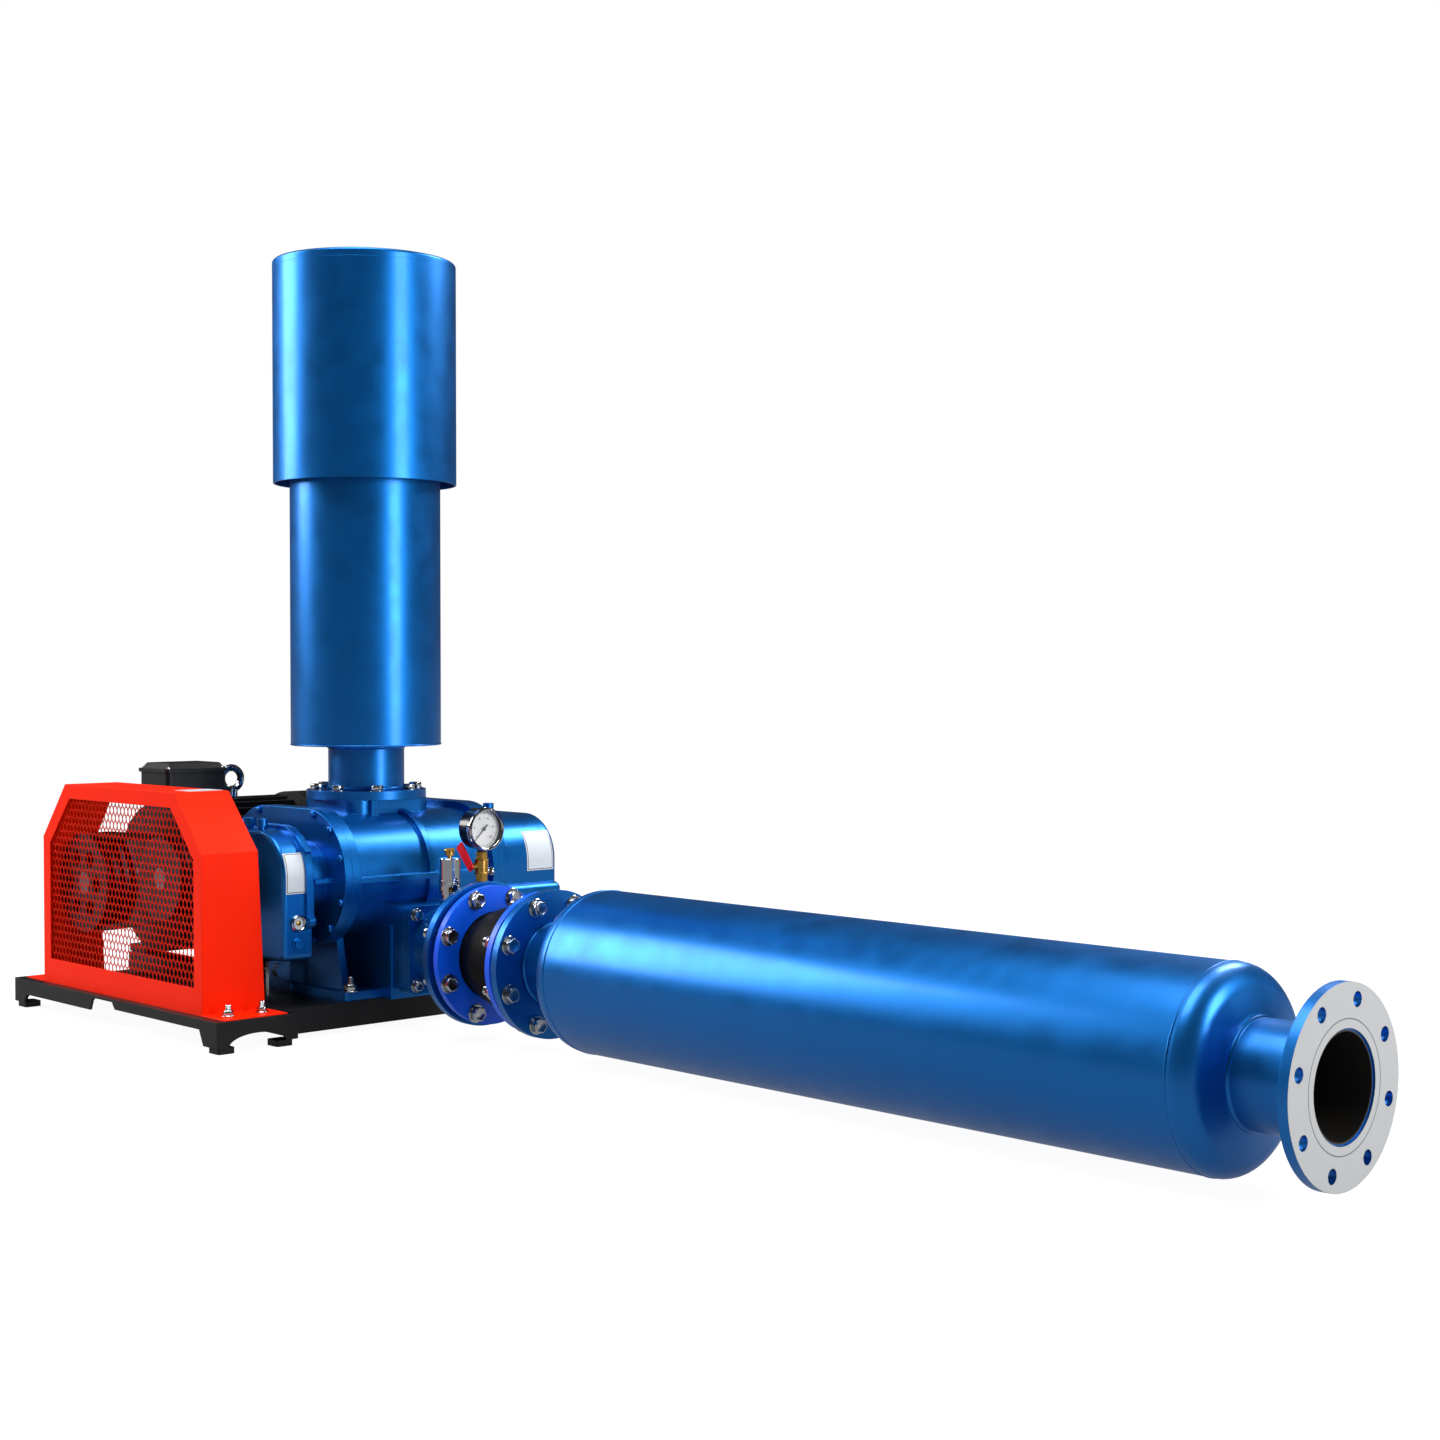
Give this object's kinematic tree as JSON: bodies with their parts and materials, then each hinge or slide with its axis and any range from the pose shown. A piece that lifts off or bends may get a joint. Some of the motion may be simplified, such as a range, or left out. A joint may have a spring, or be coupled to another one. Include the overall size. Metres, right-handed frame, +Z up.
{
  "type": "roots vacuum pump",
  "caption": "Belt-driven three-lobe Roots blower on a skid base with tall inlet filter silencer, mesh belt guard, rubber joint and long horizontal discharge silencer with flanged outlet.",
  "frame": {"origin": "on the floor, at the middle of the rectangle of the four anchor bolts of the base", "axes": "+X along the rotor shafts, away from the belt guard; +Z up; air leaves along -Y through the discharge silencer"},
  "size_m": [0.986, 2.922, 1.584],
  "materials": {
    "blue_casting": "metallic blue enamel on cast iron",
    "blue_sheet": "metallic blue enamel on rolled steel",
    "joint_blue": "bright blue enamel",
    "guard_orange": "orange-red powder coat",
    "base_black": "black satin paint",
    "motor_black": "black satin paint on cast iron",
    "motor_core": "laminated core",
    "turned_steel": "turned and ground",
    "pulley_iron": "turned cast iron",
    "zinc_steel": "bright zinc",
    "chrome": "polished chrome",
    "brass": "satin brass",
    "rubber": "moulded black rubber",
    "belt_rubber": "wrapped belt",
    "red_lever": "red dipped steel",
    "black_case": "gloss black",
    "dial_white": "white printed dial",
    "needle_black": "matt black",
    "gauge_glass": "clear",
    "filter_media": "pleated paper",
    "fan_plastic": "moulded",
    "spring_steel": "drawn wire"
  },
  "bodies": {
    "package": {"base_channels": "base_black", "base_beams": "base_black", "base_feet": "base_black", "motor_rails": "base_black", "blower_casing": "blue_casting", "drive_end_plate": "blue_casting", "gear_end_plate": "blue_casting", "drive_oil_tank": "blue_casting", "gear_case": "blue_casting", "rotor_bearings": "turned_steel", "shaft_seals": "rubber", "drive_belts": "belt_rubber", "discharge_spool": "blue_sheet", "joint_flanges": "joint_blue", "rubber_joint": "rubber", "joint_bolts": "zinc_steel", "silencer_flanges": "blue_sheet", "silencer_shell": "blue_sheet", "silencer_heads": "blue_sheet", "silencer_core": "blue_sheet", "relief_body": "chrome", "relief_spring": "spring_steel", "gauge_cock": "brass", "gauge_case": "black_case", "gauge_bezel": "chrome", "gauge_dial": "dial_white", "gauge_glass": "gauge_glass", "inlet_pipe": "blue_sheet", "inlet_silencer": "blue_sheet", "filter_element": "filter_media", "inlet_hood": "blue_sheet", "hood_lid": "blue_sheet", "guard_shell": "guard_orange", "guard_mesh": "guard_orange", "motor_frame": "motor_black", "motor_stator": "motor_core", "motor_end_bells": "motor_black", "fan_cowl": "base_black", "terminal_box": "base_black", "terminal_lid": "base_black", "lifting_eye": "chrome", "tension_rod": "zinc_steel", "sight_glasses": "brass", "oil_plugs": "blue_sheet", "casing_bolts": "zinc_steel", "hold_down_bolts": "zinc_steel"},
    "drive_rotor_group": {"drive_rotor": "turned_steel", "drive_shaft": "turned_steel", "drive_timing_gear": "turned_steel", "blower_pulley": "pulley_iron"},
    "idle_rotor_group": {"idle_rotor": "turned_steel", "idle_shaft": "turned_steel", "idle_timing_gear": "turned_steel"},
    "motor_rotor_group": {"motor_rotor": "turned_steel", "motor_pulley": "pulley_iron", "motor_fan": "fan_plastic"},
    "gauge_pointer": {"gauge_needle": "needle_black"},
    "cock_handle": {"cock_lever": "red_lever"},
    "relief_disc": {"relief_stem": "brass"}
  },
  "joints": [
    {"name": "drive_rotor_spin", "type": "hinge", "parent": "package", "child": "drive_rotor_group", "pos_m": [0, -0.12, 0.31], "axis": [1, 0, 0], "continuous": true},
    {"name": "idle_rotor_spin", "type": "hinge", "parent": "package", "child": "idle_rotor_group", "pos_m": [0, -0.28, 0.31], "axis": [1, 0, 0], "continuous": true},
    {"name": "motor_shaft_spin", "type": "hinge", "parent": "package", "child": "motor_rotor_group", "pos_m": [0, 0.2, 0.28], "axis": [1, 0, 0], "continuous": true},
    {"name": "gauge_needle_turn", "type": "hinge", "parent": "package", "child": "gauge_pointer", "pos_m": [0.041, -0.545, 0.409], "axis": [0, 1, 0], "range_deg": [0, 270]},
    {"name": "cock_lever_turn", "type": "hinge", "parent": "package", "child": "cock_handle", "pos_m": [0.0147, -0.545, 0.334], "axis": [-1, 0, 0], "range_deg": [0, 90]},
    {"name": "relief_lift", "type": "slide", "parent": "package", "child": "relief_disc", "axis": [0, 0, 1], "range_m": [0, 0.006], "stiffness_N_per_m": 2000, "springref_m": -0.006, "deforming": ["relief_spring"]}
  ],
  "couplings": [
    {"joint": "idle_rotor_spin", "follows": "drive_rotor_spin", "ratio": -1},
    {"joint": "motor_shaft_spin", "follows": "drive_rotor_spin", "ratio": 0.799}
  ]
}
